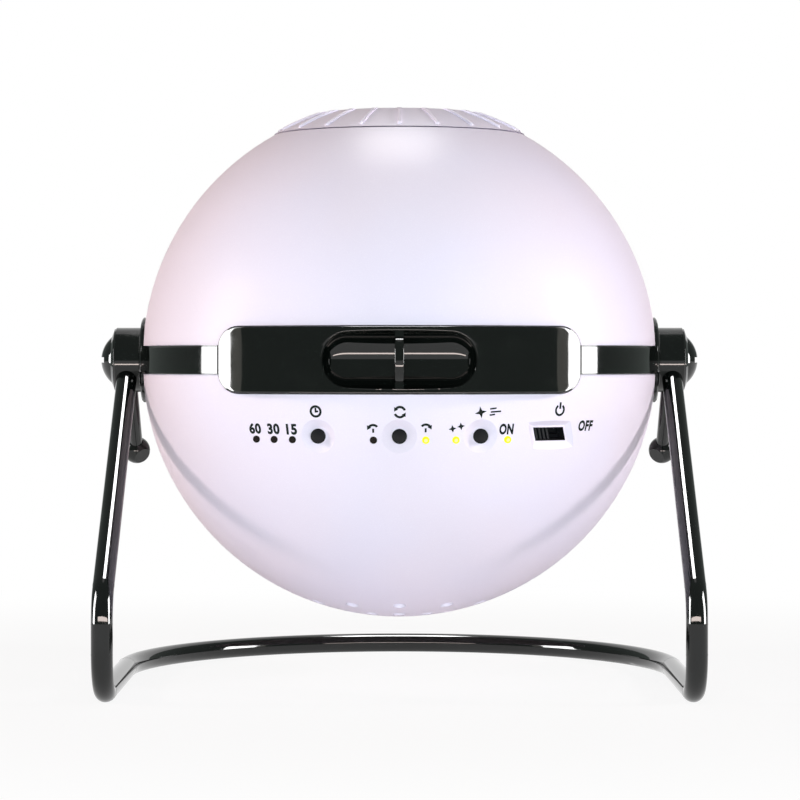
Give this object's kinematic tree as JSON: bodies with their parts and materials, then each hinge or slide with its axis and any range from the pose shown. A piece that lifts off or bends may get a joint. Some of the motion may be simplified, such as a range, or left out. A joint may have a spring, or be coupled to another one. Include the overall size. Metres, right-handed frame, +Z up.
{
  "type": "planetarium projector",
  "caption": "Tilting ball projector on a bent rod stand, with focus ring, sliding star disc tray, push buttons and slide switch.",
  "frame": {"origin": "on the surface the stand rests on, under the middle of the whole object's box", "axes": "+Z up, -Y towards the control panel, +X to the right seen from the front, along the tilt axis"},
  "size_m": [0.1676, 0.1548, 0.1576],
  "materials": {
    "pearl_plastic": "pearlescent satin, pale lavender",
    "gloss_black": "high gloss black",
    "black_enamel": "gloss black enamel on steel rod",
    "button_black": "satin black",
    "inner_black": "matt black moulding",
    "zinc_steel": "bright zinc plated",
    "circuit_green": "green solder mask",
    "clear_glass": "coated optical glass",
    "lamp_white": "white ceramic with phosphor dome",
    "sink_aluminium": "black-grey anodised aluminium",
    "gear_acetal": "natural acetal",
    "disc_film": "dark film disc",
    "dot_amber": "lit yellow indicator",
    "dot_dark": "unlit smoked indicator"
  },
  "bodies": {
    "stand": {"stand_frame": "black_enamel", "hub_boss_left": "gloss_black", "hub_boss_right": "gloss_black", "hub_cover_left": "gloss_black", "hub_cover_right": "gloss_black", "pivot_bolt_left": "black_enamel", "pivot_bolt_right": "black_enamel", "pivot_nuts": "zinc_steel"},
    "lever_left_body": {"lever_left": "black_enamel", "lever_knob_left": "gloss_black"},
    "lever_right_body": {"lever_right": "black_enamel", "lever_knob_right": "gloss_black"},
    "housing": {"upper_shell": "pearl_plastic", "lower_shell": "pearl_plastic", "band_front_left": "gloss_black", "band_front_right": "gloss_black", "band_rear": "gloss_black", "hub_flange_left": "gloss_black", "hub_flange_right": "gloss_black", "shell_screws": "zinc_steel", "optics_deck": "inner_black", "deck_screws": "zinc_steel", "lens_bridge": "inner_black", "bridge_screws": "zinc_steel", "tray_guides": "inner_black", "condenser_holder": "inner_black", "condenser_lens": "clear_glass", "lamp_board": "circuit_green", "lamp_emitter": "lamp_white", "heat_sink": "sink_aluminium", "drive_motor": "zinc_steel", "control_board": "circuit_green", "tact_switches": "inner_black", "board_screws": "zinc_steel", "dots_lit": "dot_amber", "dots_dark": "dot_dark", "switch_body": "inner_black", "dc_inlet": "inner_black"},
    "focus": {"focus_ring": "pearl_plastic", "focus_cam": "inner_black", "focus_retainer": "inner_black"},
    "barrel": {"lens_barrel": "inner_black", "front_lens": "clear_glass", "rear_lens": "clear_glass", "lens_hood": "inner_black"},
    "tray": {"tray_front": "gloss_black", "tray_frame": "inner_black", "tray_screws": "zinc_steel"},
    "disc": {"disc_ring": "gear_acetal", "star_disc": "disc_film"},
    "pinion": {"motor_pinion": "gear_acetal"},
    "button_left": {"timer_button": "button_black"},
    "button_middle": {"rotation_button": "button_black"},
    "button_right": {"meteor_button": "button_black"},
    "slider": {"power_slider": "button_black"}
  },
  "joints": [
    {"name": "tilt", "type": "hinge", "parent": "stand", "child": "housing", "pos_m": [0, 0.00471, 0.08847], "axis": [-1, 0, 0], "range_deg": [-60, 60]},
    {"name": "lever_left_swing", "type": "hinge", "parent": "stand", "child": "lever_left_body", "pos_m": [-0.07613, 0.00471, 0.08847], "axis": [1, 0, 0], "range_deg": [0, 50]},
    {"name": "lever_right_swing", "type": "hinge", "parent": "stand", "child": "lever_right_body", "pos_m": [0.07613, 0.00471, 0.08847], "axis": [1, 0, 0], "range_deg": [0, 50]},
    {"name": "barrel_slide", "type": "slide", "parent": "housing", "child": "barrel", "axis": [0, 0, 1], "range_m": [-0.0015, 0.0015]},
    {"name": "focus_turn", "type": "hinge", "parent": "housing", "child": "focus", "pos_m": [0, 0.00471, 0.15347], "axis": [0, 0, 1], "range_deg": [-50, 50]},
    {"name": "tray_slide", "type": "slide", "parent": "housing", "child": "tray", "axis": [0, -1, 0], "range_m": [0, 0.08]},
    {"name": "disc_spin", "type": "hinge", "parent": "tray", "child": "disc", "pos_m": [0, 0.00471, 0.08847], "axis": [0, 0, 1], "continuous": true},
    {"name": "pinion_spin", "type": "hinge", "parent": "housing", "child": "pinion", "pos_m": [0, 0.04471, 0.08847], "axis": [0, 0, 1], "continuous": true},
    {"name": "timer_press", "type": "slide", "parent": "housing", "child": "button_left", "axis": [0, 1, 0], "range_m": [0, 0.0009], "stiffness_N_per_m": 900, "springref_m": -0.0003},
    {"name": "rotation_press", "type": "slide", "parent": "housing", "child": "button_middle", "axis": [0, 1, 0], "range_m": [0, 0.0009], "stiffness_N_per_m": 900, "springref_m": -0.0003},
    {"name": "meteor_press", "type": "slide", "parent": "housing", "child": "button_right", "axis": [0, 1, 0], "range_m": [0, 0.0009], "stiffness_N_per_m": 900, "springref_m": -0.0003},
    {"name": "power_slide", "type": "slide", "parent": "housing", "child": "slider", "axis": [0.8141, 0.5807, 0], "range_m": [0, 0.00435]}
  ],
  "couplings": [
    {"joint": "focus_turn", "follows": "barrel_slide", "rad_per_m": 581.78},
    {"joint": "pinion_spin", "follows": "disc_spin", "ratio": -5.6667}
  ]
}
